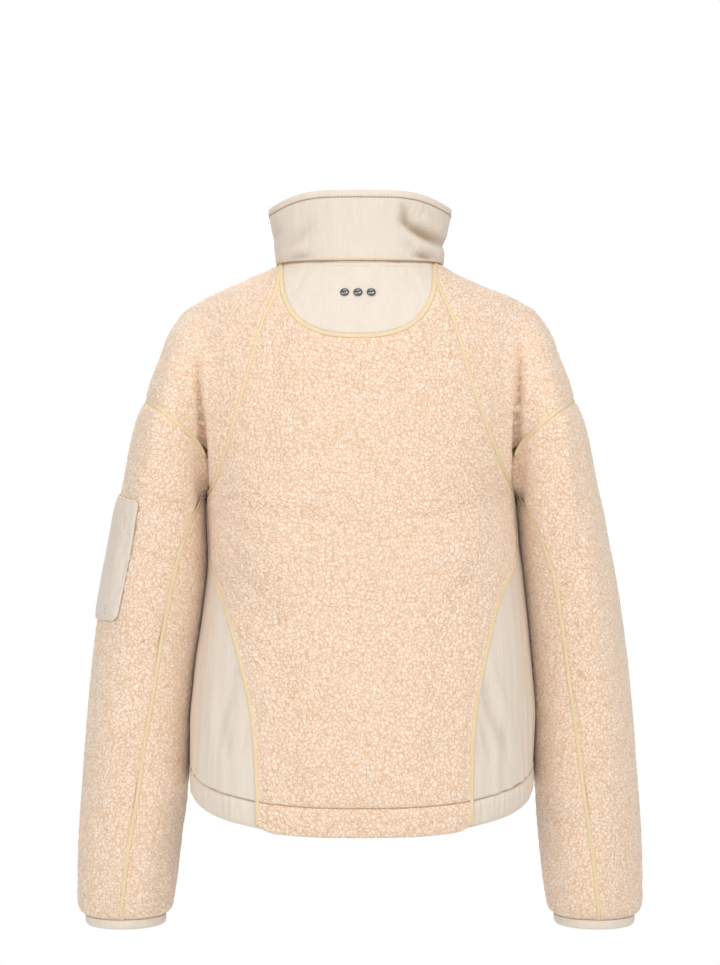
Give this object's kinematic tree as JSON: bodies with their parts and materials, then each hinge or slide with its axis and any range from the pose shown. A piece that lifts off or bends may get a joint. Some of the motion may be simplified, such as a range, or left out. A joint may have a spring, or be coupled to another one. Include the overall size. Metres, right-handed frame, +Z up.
{
  "type": "sherpa jacket",
  "caption": "Cropped sherpa fleece jacket held in its worn shape: stand collar, woven back yoke and side panels, wide raglan-look sleeves with bound cuffs, front zip",
  "frame": {"origin": "the middle of the neck's base, where the wearer carries the jacket, level with the collar's side seams", "axes": "+Z up, the front faces -Y, the wearer's left is +X"},
  "size_m": [0.568, 0.2533, 0.7251],
  "materials": {
    "sherpa": "curly cream fleece pile with tan hollows",
    "woven": "pale cream crinkled woven cloth with a soft sheen",
    "zip": "cream moulded zip teeth on a woven tape",
    "gunmetal": "dark polished gunmetal"
  },
  "bodies": {
    "root": {"back_yoke": "woven", "back_panel": "sherpa", "hem_back": "sherpa", "shoulder_left": "sherpa", "shoulder_right": "sherpa", "side_panel_left": "woven", "side_panel_right": "woven", "hem_side_left": "woven", "hem_side_right": "woven", "front_left": "sherpa", "front_right": "sherpa", "hem_front_left": "sherpa", "hem_front_right": "sherpa", "sleeve_outer_left": "sherpa", "sleeve_outer_right": "sherpa", "sleeve_under_left": "sherpa", "sleeve_under_right": "sherpa", "cuff_left": "woven", "cuff_right": "woven", "collar": "woven", "collar_binding": "woven", "zip_left": "zip", "zip_right": "zip", "zip_slider": "gunmetal", "sleeve_pocket": "woven", "stud_1": "gunmetal", "stud_2": "gunmetal", "stud_3": "gunmetal"},
    "pull": {"zip_pull": "gunmetal"}
  },
  "joints": [
    {"name": "pull_swing", "type": "hinge", "parent": "root", "child": "pull", "pos_m": [0, -0.09412, -0.0078], "axis": [-1, 0, 0], "range_deg": [0, 150]}
  ]
}
